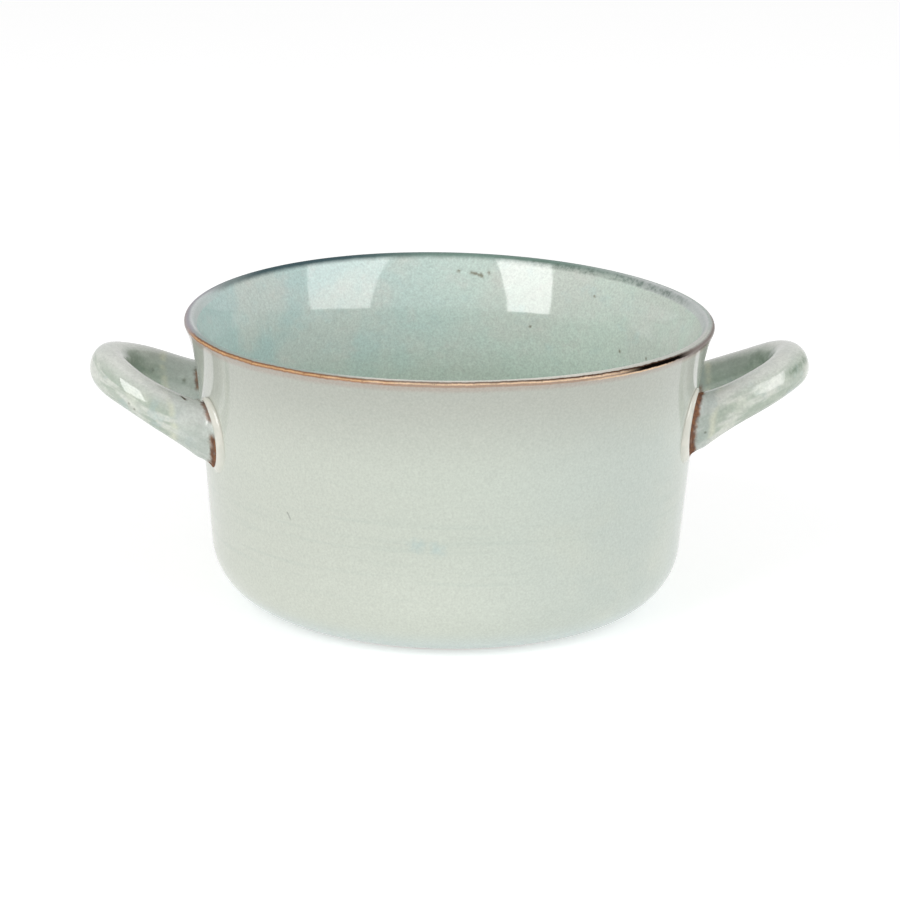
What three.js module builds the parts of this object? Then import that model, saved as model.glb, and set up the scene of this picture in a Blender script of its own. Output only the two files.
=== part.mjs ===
// Glazed stoneware soup bowl: a thrown body, two pulled loop handles, and the slip that lutes
// each of the four handle ends to the wall. Millimetres, +Z up. The origin is the centre of the
// foot on the table, and the handles lie along X.
import * as THREE from "three";

// Body
const RIM_RADIUS = 67.5;
const BOWL_HEIGHT = 74.5;
const LIP_RADIUS = 1.4; // the rim's edge is a half round of this radius
const FLARE_HEIGHT = 17.4; // the flared stretch below the top of the rim
const FLARE_REACH = 3.5; // how far the rim stands out past the straight wall
const WALL_SLOPE = 0.086; // the straight wall leans out this much for each millimetre up
const WALL_THICKNESS = 4.2;
const OUTER_CORNER_RADIUS = 16.6; // between the foot and the wall
const INNER_CORNER_RADIUS = 18;
const FLOOR_THICKNESS = 4.6;
const FOOT_WIDTH = 5.2; // bare ring that the bowl stands on
const FOOT_RECESS = 1.8; // hollow under the floor, inside the foot ring
const FOOT_BEVEL = 0.8;

// Handles: a loop in a leaning plane, thick and tall at the wall, lower and rounder at its tip
const HANDLE_SPREAD = 15.6; // from the loop's middle to each arm's middle line at the wall
const LOOP_ROUNDNESS = 2.15; // 2 is an ellipse, more is squarer
const ROOT_HALF_HEIGHT = 7.1;
const TIP_HALF_HEIGHT = 4.95;
const ROOT_HALF_THICKNESS = 5.3;
const TIP_HALF_THICKNESS = 4.8;
const ROOT_TAPER = 3.4; // how quickly the root's size dies away along the arm
const SECTION_ROUNDNESS = 2.15;

// Each handle is set on by hand, so the two differ a little. The drop is the root's depth below
// the rim, and the reach is the loop's length from the wall. Angles are in degrees.
const RIGHT_DROP = 25.1;
const RIGHT_REACH = 29.0;
const RIGHT_LEAN = 24.4;
const RIGHT_TWIST = -2.4;
const LEFT_DROP = 25.9;
const LEFT_REACH = 28.0;
const LEFT_LEAN = 25.5;
const LEFT_TWIST = -4.1;
const HANDLES = [
  {
    side: "right",
    facing: 0,
    drop: RIGHT_DROP,
    reach: RIGHT_REACH,
    lean: RIGHT_LEAN,
    twist: RIGHT_TWIST,
  },
  {
    side: "left",
    facing: 180,
    drop: LEFT_DROP,
    reach: LEFT_REACH,
    lean: LEFT_LEAN,
    twist: LEFT_TWIST,
  },
];
const ENDS = ["front", "back"];

// Slip joints: a pad between the handle's end and the wall, squeezed out into a hollow bead
const JOINT_GAP = 0.3; // between the slip and what it touches
const SLIP_PAD = 0.8;
const BEAD_STEP = 0.4; // low step where the bead ends on the wall
const BEAD_HEIGHT = 1.4; // how far the hollow of the bead climbs up the handle
const BEAD_REACH = 4.4; // how far it spreads over the wall on the handle's outer face
const BEAD_LEAST_REACH = 0.15; // above and below the arm, and on the fingers' side
const BEAD_EDGE = 0.25; // thickness left at the bead's thin edge

// Fineness
const TURN_STEPS = 72;
const CORNER_STEPS = 8;
const FLARE_STEPS = 5;
const LIP_STEPS = 6;
const SECTION_STEPS = 18;
const LOOP_STEPS = 24;
const BEAD_STEPS = 3;
const SEARCH_STEPS = 40;
const TANGENT_STEP = 1e-4;

// Glaze and slip
const BODY_GLAZE = { color: 0xced6cb, roughness: 0.22, metalness: 0 };
const HANDLE_GLAZE = { color: 0xb9c2ad, roughness: 0.25, metalness: 0 };
const SLIP_GLAZE = { color: 0xe6dfcf, roughness: 0.18, metalness: 0 };

const flareStart = BOWL_HEIGHT - FLARE_HEIGHT;
const lipHeight = BOWL_HEIGHT - LIP_RADIUS;
const slopeLength = Math.hypot(1, WALL_SLOPE);
const floorTop = FOOT_RECESS + FLOOR_THICKNESS;
const padTop = JOINT_GAP + SLIP_PAD;

function wallRadius(height, inset) {
  return RIM_RADIUS - FLARE_REACH + WALL_SLOPE * (height - flareStart) - inset * slopeLength;
}

function arc(centreRadius, centreHeight, radius, fromAngle, toAngle, steps) {
  return Array.from({ length: steps + 1 }, (_, i) => {
    const angle = fromAngle + ((toAngle - fromAngle) * i) / steps;
    return new THREE.Vector2(
      centreRadius + radius * Math.cos(angle),
      centreHeight + radius * Math.sin(angle),
    );
  });
}

// Round corner that meets a level face and the straight wall without a kink.
function corner(levelHeight, radius, inset) {
  const centreHeight = levelHeight + radius;
  const centreRadius = wallRadius(centreHeight, inset) - radius * slopeLength;
  return arc(centreRadius, centreHeight, radius, -Math.PI / 2, -Math.atan(WALL_SLOPE), CORNER_STEPS);
}

// Arc that leaves the straight wall without a kink and ends at the lip.
function flare(inset, lipEndRadius) {
  const start = new THREE.Vector2(wallRadius(flareStart, inset), flareStart);
  const chord = new THREE.Vector2(lipEndRadius, lipHeight).sub(start);
  const lean = Math.atan(WALL_SLOPE);
  const turn = Math.atan2(chord.x, chord.y) - lean;
  return Array.from({ length: FLARE_STEPS + 1 }, (_, i) => {
    const part = (turn * i) / FLARE_STEPS;
    const length = (chord.length() * Math.sin(part)) / Math.sin(turn);
    const heading = lean + part;
    return new THREE.Vector2(
      start.x + length * Math.sin(heading),
      start.y + length * Math.cos(heading),
    );
  });
}

const outerWall = [...corner(0, OUTER_CORNER_RADIUS, 0), ...flare(0, RIM_RADIUS)];

// Outline of the body's section, from the middle of the recess round to the middle of the floor.
function bodyOutline() {
  const footInside = outerWall[0].x - FOOT_WIDTH;
  const lip = arc(RIM_RADIUS - LIP_RADIUS, lipHeight, LIP_RADIUS, 0, Math.PI, LIP_STEPS);
  const innerWall = [
    ...corner(floorTop, INNER_CORNER_RADIUS, WALL_THICKNESS),
    ...flare(WALL_THICKNESS, RIM_RADIUS - 2 * LIP_RADIUS),
  ].reverse();
  return [
    new THREE.Vector2(0, FOOT_RECESS),
    new THREE.Vector2(footInside - FOOT_BEVEL, FOOT_RECESS),
    new THREE.Vector2(footInside, 0),
    ...outerWall,
    ...lip.slice(1, -1),
    ...innerWall,
    new THREE.Vector2(0, floorTop),
  ];
}

function outerRadius(height) {
  const above = outerWall.findIndex((point) => point.y >= height);
  if (above < 1) return above < 0 ? RIM_RADIUS : outerWall[0].x;
  const low = outerWall[above - 1];
  const high = outerWall[above];
  return THREE.MathUtils.mapLinear(height, low.y, high.y, low.x, high.x);
}

function signedPower(value, power) {
  return Math.sign(value) * Math.abs(value) ** power;
}

// Middle line of a loop: along is 0 at the front end and PI at the back end. Beyond either end
// the line runs straight on into the wall.
function loopPoint(handle, along) {
  const power = 2 / LOOP_ROUNDNESS;
  const between = THREE.MathUtils.clamp(along, 0, Math.PI);
  return new THREE.Vector2(
    handle.reach * signedPower(Math.sin(along), power),
    -HANDLE_SPREAD * signedPower(Math.cos(between), power),
  );
}

// Sets a loop's own frame (out, across, up) on the wall: it leans up, twists, and stands at its
// root height with both arms' middle lines on the wall.
function loopPlacement(handle) {
  const rootHeight = BOWL_HEIGHT - handle.drop;
  const rootDepth = Math.sqrt(outerRadius(rootHeight) ** 2 - HANDLE_SPREAD ** 2);
  const twist = new THREE.Matrix4().makeRotationX(THREE.MathUtils.degToRad(handle.twist));
  const lean = new THREE.Matrix4().makeRotationY(-THREE.MathUtils.degToRad(handle.lean));
  return new THREE.Matrix4().makeTranslation(rootDepth, 0, rootHeight).multiply(twist).multiply(lean);
}

// Point on the handle's skin grown outwards by grow, or on its way to the middle line for a
// share below 1.
function skinPoint(handle, along, around, { grow = 0, share = 1 }) {
  const middle = loopPoint(handle, along);
  const heading = loopPoint(handle, along + TANGENT_STEP).sub(loopPoint(handle, along - TANGENT_STEP));
  heading.normalize();
  const taper = THREE.MathUtils.clamp(1 - middle.x / handle.reach, 0, 1) ** ROOT_TAPER;
  const halfHeight = THREE.MathUtils.lerp(TIP_HALF_HEIGHT, ROOT_HALF_HEIGHT, taper);
  const halfThickness = THREE.MathUtils.lerp(TIP_HALF_THICKNESS, ROOT_HALF_THICKNESS, taper);
  const power = 2 / SECTION_ROUNDNESS;
  const outward = share * signedPower(Math.cos(around), power) * (halfThickness + grow);
  const upward = share * signedPower(Math.sin(around), power) * (halfHeight + grow);
  return new THREE.Vector3(
    middle.x + heading.y * outward,
    middle.y - heading.x * outward,
    upward,
  ).applyMatrix4(handle.placement);
}

// Where one line of the skin stands the given distance off the wall, near the given end.
function alongAtWall(handle, end, around, ring) {
  const fromEnd = (value) => (end === "front" ? value : Math.PI - value);
  let inside = -Math.PI / 6;
  let outside = Math.PI / 2;
  for (let i = 0; i < SEARCH_STEPS; i++) {
    const middle = (inside + outside) / 2;
    const point = skinPoint(handle, fromEnd(middle), around, ring);
    const offWall = Math.hypot(point.x, point.y) - outerRadius(point.z);
    if (offWall < ring.offWall) inside = middle;
    else outside = middle;
  }
  return fromEnd(outside);
}

function sectionAngles() {
  return Array.from({ length: SECTION_STEPS }, (_, i) => (2 * Math.PI * i) / SECTION_STEPS);
}

// Ring round one end of a handle that keeps the given distance off the wall all the way round.
function wallRing(handle, end, ring) {
  return sectionAngles().map((around) => {
    const grown = { ...ring, grow: ring.growAt ? ring.growAt(around) : ring.grow };
    return skinPoint(handle, alongAtWall(handle, end, around, grown), around, grown);
  });
}

// Closed surface through the rings, from one end point to the other.
function closedLoft(firstPoint, rings, lastPoint) {
  const points = [firstPoint, ...rings.flat(), lastPoint];
  const last = points.length - 1;
  const at = (ring, i) => 1 + ring * SECTION_STEPS + (i % SECTION_STEPS);
  const faces = [];
  for (let i = 0; i < SECTION_STEPS; i++) {
    faces.push(0, at(0, i), at(0, i + 1));
    for (let ring = 0; ring < rings.length - 1; ring++) {
      faces.push(at(ring, i), at(ring + 1, i), at(ring + 1, i + 1));
      faces.push(at(ring, i), at(ring + 1, i + 1), at(ring, i + 1));
    }
    faces.push(at(rings.length - 1, i + 1), at(rings.length - 1, i), last);
  }
  const geometry = new THREE.BufferGeometry().setFromPoints(points);
  geometry.setIndex(faces);
  geometry.computeVertexNormals();
  return geometry;
}

// Middle point and middle ring of a face that follows the wall across one end of a handle.
function wallFace(handle, end, ring) {
  const centre = { ...ring, share: 0 };
  return {
    middle: skinPoint(handle, alongAtWall(handle, end, 0, centre), 0, centre),
    halfway: wallRing(handle, end, { ...ring, share: 0.5 }),
  };
}

function bodyGeometry() {
  return new THREE.LatheGeometry(bodyOutline(), TURN_STEPS).rotateX(Math.PI / 2);
}

function handleGeometry(handle) {
  const foot = { offWall: padTop + JOINT_GAP };
  const [front, back] = ENDS.map((end) => wallFace(handle, end, foot));
  const span = sectionAngles().map((around) => ({
    around,
    from: alongAtWall(handle, "front", around, foot),
    to: alongAtWall(handle, "back", around, foot),
  }));
  const skin = Array.from({ length: LOOP_STEPS + 1 }, (_, i) =>
    span.map(({ around, from, to }) =>
      skinPoint(handle, THREE.MathUtils.lerp(from, to, i / LOOP_STEPS), around, foot),
    ),
  );
  return closedLoft(front.middle, [front.halfway, ...skin, back.halfway], back.middle);
}

// How far the bead has spread, at a share of its full reach, round the arm's section.
function beadGrowth(share) {
  return (around) => {
    const outerFace = Math.max(0, Math.cos(around));
    const reach = THREE.MathUtils.lerp(BEAD_LEAST_REACH, BEAD_REACH, outerFace);
    return JOINT_GAP + BEAD_EDGE + reach * share;
  };
}

function slipGeometry(handle, end) {
  const wallSide = { growAt: beadGrowth(1), offWall: JOINT_GAP };
  const handleSide = { grow: JOINT_GAP, offWall: padTop };
  const beadRings = Array.from({ length: BEAD_STEPS + 1 }, (_, i) => {
    const angle = (Math.PI / 2) * (1 - i / BEAD_STEPS);
    return {
      growAt: beadGrowth(1 - Math.cos(angle)),
      offWall: JOINT_GAP + BEAD_STEP + BEAD_HEIGHT * (1 - Math.sin(angle)),
    };
  });
  const beadEdge = { grow: JOINT_GAP, offWall: JOINT_GAP + BEAD_STEP + BEAD_HEIGHT };
  const rings = [wallSide, ...beadRings, beadEdge, handleSide].map((ring) =>
    wallRing(handle, end, ring),
  );
  const below = wallFace(handle, end, wallSide);
  const above = wallFace(handle, end, handleSide);
  const loops = [below.halfway, ...rings, above.halfway];
  // The loft runs away from the wall, which is backwards along the loop at its back end.
  if (end === "back") loops.forEach((loop) => loop.reverse());
  return closedLoft(below.middle, loops, above.middle);
}

function piece(name, geometry, material) {
  const mesh = new THREE.Mesh(geometry, material);
  mesh.name = name;
  return mesh;
}

const bowl = new THREE.Group();
bowl.add(piece("bowl_body", bodyGeometry(), new THREE.MeshStandardMaterial(BODY_GLAZE)));

const handleMaterial = new THREE.MeshStandardMaterial(HANDLE_GLAZE);
const slipMaterial = new THREE.MeshStandardMaterial(SLIP_GLAZE);
for (const settings of HANDLES) {
  const handle = { ...settings, placement: loopPlacement(settings) };
  const sideGroup = new THREE.Group();
  sideGroup.rotation.z = THREE.MathUtils.degToRad(handle.facing);
  sideGroup.add(piece(`${handle.side}_handle`, handleGeometry(handle), handleMaterial));
  for (const end of ENDS) {
    // On the side that is turned half round, the loop's first end is the back one.
    const place = handle.facing === 0 ? end : ENDS[1 - ENDS.indexOf(end)];
    sideGroup.add(piece(`${handle.side}_${place}_slip_joint`, slipGeometry(handle, end), slipMaterial));
  }
  bowl.add(sideGroup);
}

export default bowl;
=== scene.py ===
# Glazed stoneware soup bowl: the looks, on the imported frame. Sizes are in millimetres until a mesh
# is made. +Z is up, the origin is the middle of the foot on the table, the handles lie along X and
# the photographed front faces -Y.
import math

import bpy
import numpy as np
from mathutils import Matrix, Vector


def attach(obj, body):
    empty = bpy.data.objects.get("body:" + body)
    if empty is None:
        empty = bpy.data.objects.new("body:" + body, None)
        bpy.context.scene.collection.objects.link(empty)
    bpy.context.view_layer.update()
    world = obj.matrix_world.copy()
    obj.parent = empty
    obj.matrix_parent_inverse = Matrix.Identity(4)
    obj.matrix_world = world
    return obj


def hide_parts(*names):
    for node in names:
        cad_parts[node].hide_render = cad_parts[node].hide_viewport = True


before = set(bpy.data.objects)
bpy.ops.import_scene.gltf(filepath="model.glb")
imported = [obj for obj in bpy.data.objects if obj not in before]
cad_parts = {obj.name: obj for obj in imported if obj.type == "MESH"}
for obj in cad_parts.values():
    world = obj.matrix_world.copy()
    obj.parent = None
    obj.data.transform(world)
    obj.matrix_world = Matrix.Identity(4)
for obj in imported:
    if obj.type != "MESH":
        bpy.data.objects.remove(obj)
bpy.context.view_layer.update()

METRES = 0.001

# Body
RIM_RADIUS = 67.5
BOWL_HEIGHT = 74.5
LIP_RADIUS = 1.4
LIP_INNER_LEAN = 28.9  # lean of the inside where it runs into the lip, in degrees
FLARE_HEIGHT = 17.4
FLARE_REACH = 3.5
WALL_SLOPE = 0.086
WALL_THICKNESS = 4.2
OUTER_CORNER_RADIUS = 16.6
INNER_CORNER_RADIUS = 18.0
FLOOR_THICKNESS = 4.6
FOOT_WIDTH = 5.2
FOOT_RECESS = 1.8
FOOT_BEVEL = 0.8
BARE_FOOT_HEIGHT = 0.35  # the glaze stops this far above the table

FLARE_START = BOWL_HEIGHT - FLARE_HEIGHT
LIP_HEIGHT = BOWL_HEIGHT - LIP_RADIUS
SLOPE_LENGTH = math.hypot(1, WALL_SLOPE)
WALL_LEAN = math.atan(WALL_SLOPE)
FLOOR_TOP = FOOT_RECESS + FLOOR_THICKNESS
BOWL_MIDDLE = Vector((0, 0, BOWL_HEIGHT / 2))

# Throwing marks: low rings that climb the wall as the potter's fingers did
RING_DEPTH_OUTSIDE = 0.005
RING_DEPTH_INSIDE = 0.03
RING_PITCH_OUTSIDE = 3.1
RING_PITCH_INSIDE = 5.2
RING_STEADY = 0.6  # share of the depth that is even
RING_VARIED = 0.4  # share that comes and goes
RING_VARIES_OVER = 9.0
RING_LIP_MARGIN = 4.0  # there are no rings this near to the lip
RING_LIP_FADE = 6.0
RING_LEAST_RADIUS = 45.0  # there are none on the floor either
RING_FLOOR_FADE = 8.0

# The rim was thrown by hand, so its height varies a little round the bowl
RIM_LOWER = 0.39
RIM_TILT = 0.32
RIM_TILT_TOWARDS = 46.0
RIM_SADDLE = 0.44
RIM_SADDLE_TOWARDS = 107.5
RIM_UNEVEN_FROM = 50.0

# Handles
HANDLE_SPREAD = 15.6
LOOP_ROUNDNESS = 2.15
ROOT_HALF_HEIGHT = 7.1
TIP_HALF_HEIGHT = 4.95
ROOT_HALF_THICKNESS = 5.3
TIP_HALF_THICKNESS = 4.8
ROOT_TAPER = 3.4
SECTION_ROUNDNESS = 2.15
HANDLE_SUNK = 1.2  # how deep the handle's end goes into the wall
ROOT_FLARE_FALL = 0.8  # the flare dies away over about this distance from the wall
ROOT_FLARE_SPREAD = 0.8  # below 1, the flare keeps its size further round the arm
ROOT_FLARE_LESS_UNDER = 0.5  # share of the flare that is lost under the arm
HANDLES = {
    "right": {"facing": 0, "drop": 25.1, "reach": 29.0, "lean": 24.4, "twist": -2.4,
              "flare": 3.6, "roll_width": 2.8, "roll_rise": 0, "roll_under": 1.4, "roll_over": 1.0},
    "left": {"facing": 180, "drop": 25.9, "reach": 28.0, "lean": 25.5, "twist": -4.1,
             "flare": 3.0, "roll_width": 2.6, "roll_rise": 25, "roll_under": 0.7, "roll_over": 1.6},
}
ENDS = ("front", "back")

# Unevenness left by pulling the strap by hand: its size, then each wave's share of it, the wave's
# number of turns round the strap and along the loop, and its start in radians
PULL_MARK = 0.10
PULL_WAVES = ((1.0, 2, 3, 0), (0.6, 3, -5, 1), (0.5, 0, 9, 2))

# Slip joints: a roll of slip that was squeezed out round the handle's end
ROLL_LEAST_HEIGHT = 0.15
ROLL_LEAST_WIDTH = 0.3
ROLL_SUNK = 0.6  # how deep the roll's feet go into the wall
ROLL_TUCKED = 0.7  # the roll's inner foot is hidden under the flare, at this share of its reach
ROLL_DRAWN_UP = 1.4  # the roll ends sooner under the arm than over it

# Fineness
TURN_STEPS = 320
FLOOR_STEPS = 14
CORNER_STEPS = 24
WALL_STEPS = 48
FLARE_STEPS = 20
LIP_STEPS = 40
FOOT_STEPS = 4
SECTION_STEPS = 56
LOOP_STEPS = 128
ROLL_STEPS = 12
SEARCH_STEPS = 36
SEARCH_FROM = -math.pi / 6  # along the loop, well inside the wall
SEARCH_TO = math.pi / 2  # along the loop, at its tip
TANGENT_STEP = 1e-4
END_CROWDING = 0.85

# Camera, fitted to the photograph's outline
PHOTO_PIXELS = 900
CAMERA_DISTANCE = 1000.0
CAMERA_AZIMUTH = -3.64
CAMERA_ELEVATION = 16.07
CAMERA_ROLL = 1.04
FOCAL_PIXELS = 3887.0
AIM_RIGHT = 0.72
AIM_UP = 0.75
SENSOR_WIDTH = 36.0


# Outline of the body


def wall_radius(height, inset):
    return RIM_RADIUS - FLARE_REACH + WALL_SLOPE * (height - FLARE_START) - inset * SLOPE_LENGTH


def arc(centre_radius, centre_height, radius, from_angle, to_angle, steps):
    angles = np.linspace(from_angle, to_angle, steps + 1)
    return np.column_stack((
        centre_radius + radius * np.cos(angles),
        centre_height + radius * np.sin(angles),
    ))


def corner(level, radius, inset):
    """Round corner that meets a level face and the straight wall without a kink."""
    height = level + radius
    centre = wall_radius(height, inset) - radius * SLOPE_LENGTH
    return arc(centre, height, radius, -math.pi / 2, -WALL_LEAN, CORNER_STEPS)


def flare(inset, lip_end):
    """Arc that leaves the straight wall without a kink and ends at the lip."""
    start = np.array((wall_radius(FLARE_START, inset), FLARE_START))
    chord = lip_end - start
    turn = math.atan2(*chord) - WALL_LEAN
    part = np.linspace(0, turn, FLARE_STEPS + 1)
    length = np.hypot(*chord) * np.sin(part) / math.sin(turn)
    lean = WALL_LEAN + part
    return start + np.column_stack((length * np.sin(lean), length * np.cos(lean)))


def straight(start, end, steps):
    return np.linspace(start, end, steps + 1)


def wall_side(level, corner_radius, inset, lip_end):
    """One side of the wall, from the level face up to the lip."""
    low = corner(level, corner_radius, inset)
    high = flare(inset, lip_end)
    middle = straight(low[-1], high[0], WALL_STEPS)
    return np.vstack((low, middle[1:-1], high))


LIP = arc(RIM_RADIUS - LIP_RADIUS, LIP_HEIGHT, LIP_RADIUS,
          math.pi - math.radians(LIP_INNER_LEAN), 0, LIP_STEPS)
OUTER_WALL = wall_side(0.0, OUTER_CORNER_RADIUS, 0.0, LIP[-1])
INNER_WALL = wall_side(FLOOR_TOP, INNER_CORNER_RADIUS, WALL_THICKNESS, LIP[0])


def body_outline():
    """Section from the middle of the floor, over the lip, to the middle of the recess."""
    foot_inside = OUTER_WALL[0, 0] - FOOT_WIDTH
    recess_edge = (foot_inside - FOOT_BEVEL, FOOT_RECESS)
    return np.vstack((
        straight((0.0, FLOOR_TOP), INNER_WALL[0], FLOOR_STEPS)[:-1],
        INNER_WALL,
        LIP[1:-1],
        OUTER_WALL[::-1],
        straight(OUTER_WALL[0], (foot_inside, 0.0), FOOT_STEPS)[1:],
        straight((foot_inside, 0.0), recess_edge, FOOT_STEPS)[1:],
        straight(recess_edge, (0.0, FOOT_RECESS), FLOOR_STEPS)[1:],
    ))


def outer_radius(height):
    return np.interp(height, OUTER_WALL[:, 1], OUTER_WALL[:, 0])


def on_wall(wall, turn, height):
    """Point on one side of the wall, at an angle in degrees round from +X."""
    radius = np.interp(height, wall[:, 1], wall[:, 0])
    return radius * math.cos(math.radians(turn)), radius * math.sin(math.radians(turn)), height


# Meshes


def new_piece(name, points, faces, materials):
    """A smooth-shaded object from points in millimetres."""
    mesh = bpy.data.meshes.new(name)
    mesh.from_pydata((np.asarray(points) * METRES).tolist(), [], faces)
    for material in materials:
        mesh.materials.append(material)
    mesh.shade_smooth()
    piece = bpy.data.objects.new(name, mesh)
    bpy.context.scene.collection.objects.link(piece)
    return piece


def set_value(piece, name, values):
    """One value for each point, which the material reads by name."""
    attribute = piece.data.attributes.new(name, "FLOAT", "POINT")
    attribute.data.foreach_set("value", np.asarray(values, dtype=np.float32).ravel())


def ring_faces(rings, steps, first=0):
    """Quads between neighbouring closed rings of points."""
    faces = []
    for ring in range(rings - 1):
        low = first + ring * steps
        for i in range(steps):
            j = (i + 1) % steps
            faces.append((low + i, low + j, low + steps + j, low + steps + i))
    return faces


def throwing_rings(outline, past_lip, turn):
    """How far the throwing marks push each point of the wall in or out."""
    radius = outline[:, :1]
    height = outline[:, 1:]
    from_lip = np.abs(past_lip[:, None])
    inside = past_lip[:, None] < 0
    pitch = np.where(inside, RING_PITCH_INSIDE, RING_PITCH_OUTSIDE)
    depth = np.where(inside, RING_DEPTH_INSIDE, RING_DEPTH_OUTSIDE)
    climb = 2 * math.pi * height / pitch + turn
    uneven = RING_STEADY + RING_VARIED * np.sin(2 * turn + height / RING_VARIES_OVER)
    off_lip = np.clip((from_lip - RING_LIP_MARGIN) / RING_LIP_FADE, 0, 1)
    off_floor = np.clip((radius - RING_LEAST_RADIUS) / RING_FLOOR_FADE, 0, 1)
    return depth * np.sin(climb) * uneven * (off_lip * off_floor)


def rim_rise(height, turn):
    """How far the uneven rim lifts or lowers each point, dying away down the wall."""
    share = np.clip((height - RIM_UNEVEN_FROM) / (BOWL_HEIGHT - RIM_UNEVEN_FROM), 0, 1)
    tilt = RIM_TILT * np.cos(turn - math.radians(RIM_TILT_TOWARDS))
    saddle = RIM_SADDLE * np.cos(2 * (turn - math.radians(RIM_SADDLE_TOWARDS)))
    return share ** 2 * (3 - 2 * share) * (tilt + saddle - RIM_LOWER)


def build_body(glaze, clay):
    """The body, turned from its section, bare where it stands on the table."""
    outline = body_outline()
    lengths = np.hypot(*np.diff(outline, axis=0).T)
    travelled = np.concatenate(((0,), np.cumsum(lengths)))
    past_lip = travelled - travelled[np.argmax(outline[:, 1])]
    turn = np.linspace(0, 2 * math.pi, TURN_STEPS, endpoint=False)[None, :]
    middle = outline[1:-1]
    radius = middle[:, :1] + throwing_rings(middle, past_lip[1:-1], turn)
    height = middle[:, 1:] + rim_rise(middle[:, 1:], turn)
    skin = np.stack((radius * np.cos(turn), radius * np.sin(turn), height), axis=-1).reshape(-1, 3)
    points = np.vstack(((0, 0, outline[0, 1]), skin, (0, 0, outline[-1, 1])))
    faces = [tuple(reversed(face)) for face in ring_faces(len(middle), TURN_STEPS, 1)]
    last = len(points) - 1
    for i in range(TURN_STEPS):
        j = (i + 1) % TURN_STEPS
        faces.append((0, 1 + i, 1 + j))
        faces.append((last, last - TURN_STEPS + j, last - TURN_STEPS + i))
    body = new_piece("bowl_body_visual", points, faces, (glaze, clay))
    past_lip_round = np.repeat(past_lip[1:-1], TURN_STEPS)
    set_value(body, "past_lip", np.concatenate((past_lip[:1], past_lip_round, past_lip[-1:])))
    for polygon in body.data.polygons:
        lowest = polygon.center.z / METRES < BARE_FOOT_HEIGHT
        polygon.material_index = 1 if lowest else 0
    return body


# Handles and slip joints

SECTION_ANGLES = np.linspace(0, 2 * math.pi, SECTION_STEPS, endpoint=False)


def signed_power(value, power):
    return np.sign(value) * np.abs(value) ** power


def loop_point(handle, along):
    """Middle line of a loop. along is 0 at one end and pi at the other, straight on beyond them."""
    power = 2 / LOOP_ROUNDNESS
    out = handle["reach"] * signed_power(np.sin(along), power)
    across = -HANDLE_SPREAD * signed_power(np.cos(np.clip(along, 0, math.pi)), power)
    return np.stack((out, across), axis=-1)


def loop_placement(handle):
    """Sets a loop's own frame (out, across, up) on its side of the wall."""
    root_height = BOWL_HEIGHT - handle["drop"]
    root_depth = math.sqrt(outer_radius(root_height) ** 2 - HANDLE_SPREAD ** 2)
    facing = Matrix.Rotation(math.radians(handle["facing"]), 4, "Z")
    place = Matrix.Translation((root_depth, 0, root_height))
    twist = Matrix.Rotation(math.radians(handle["twist"]), 4, "X")
    lean = Matrix.Rotation(-math.radians(handle["lean"]), 4, "Y")
    return np.array(facing @ place @ twist @ lean)


def skin_point(handle, along, around, grow=0.0):
    """Points on a handle's skin, moved outwards by grow."""
    middle = loop_point(handle, along)
    heading = loop_point(handle, along + TANGENT_STEP) - loop_point(handle, along - TANGENT_STEP)
    heading /= np.linalg.norm(heading, axis=-1, keepdims=True)
    taper = np.clip(1 - middle[..., 0] / handle["reach"], 0, 1) ** ROOT_TAPER
    half_height = TIP_HALF_HEIGHT + (ROOT_HALF_HEIGHT - TIP_HALF_HEIGHT) * taper
    half_thickness = TIP_HALF_THICKNESS + (ROOT_HALF_THICKNESS - TIP_HALF_THICKNESS) * taper
    power = 2 / SECTION_ROUNDNESS
    outward = signed_power(np.cos(around), power) * (half_thickness + grow)
    upward = signed_power(np.sin(around), power) * (half_height + grow)
    local = np.stack((
        middle[..., 0] + heading[..., 1] * outward,
        middle[..., 1] - heading[..., 0] * outward,
        upward,
    ), axis=-1)
    return local @ handle["placement"][:3, :3].T + handle["placement"][:3, 3]


def off_wall(points):
    return np.hypot(points[..., 0], points[..., 1]) - outer_radius(points[..., 2])


def along_at_wall(handle, end, around, distance, grow=0.0):
    """Where each line of the skin stands the given distance off the wall, near one end."""
    inside = np.full(around.shape, SEARCH_FROM)
    outside = np.full(around.shape, SEARCH_TO)
    for _ in range(SEARCH_STEPS):
        middle = (inside + outside) / 2
        along = middle if end == "front" else math.pi - middle
        buried = off_wall(skin_point(handle, along, around, grow)) < distance
        inside = np.where(buried, middle, inside)
        outside = np.where(buried, outside, middle)
    return outside if end == "front" else math.pi - outside


def pull_marks(along, around):
    """Slight unevenness of a strap that was pulled by hand and smoothed with wet fingers."""
    marks = 0
    for share, turns_round, turns_along, start in PULL_WAVES:
        marks = marks + share * np.sin(turns_round * around + turns_along * along + start)
    return PULL_MARK * marks


def closed_tube(rings):
    """Faces of a tube through the rings, with a flat cap on each end."""
    faces = ring_faces(len(rings), SECTION_STEPS)
    faces.append(tuple(reversed(range(SECTION_STEPS))))
    first = (len(rings) - 1) * SECTION_STEPS
    faces.append(tuple(range(first, first + SECTION_STEPS)))
    return faces


def crowded_ends(steps):
    """Shares from 0 to 1 that lie closer together near both ends."""
    share = np.linspace(0, 1, steps + 1)
    return share - END_CROWDING * np.sin(2 * math.pi * share) / (2 * math.pi)


def flare_reach(handle, around):
    """How far the handle's outer face was smoothed out over the wall."""
    outer_face = np.maximum(0, np.cos(around)) ** ROOT_FLARE_SPREAD
    return handle["flare"] * outer_face * (1 - ROOT_FLARE_LESS_UNDER * np.maximum(0, -np.sin(around)))


def root_flare(handle, points, around):
    """Growth of the skin by the flare, which dies away from the wall."""
    return flare_reach(handle, around) * np.exp(-np.maximum(off_wall(points), 0) / ROOT_FLARE_FALL)


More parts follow.
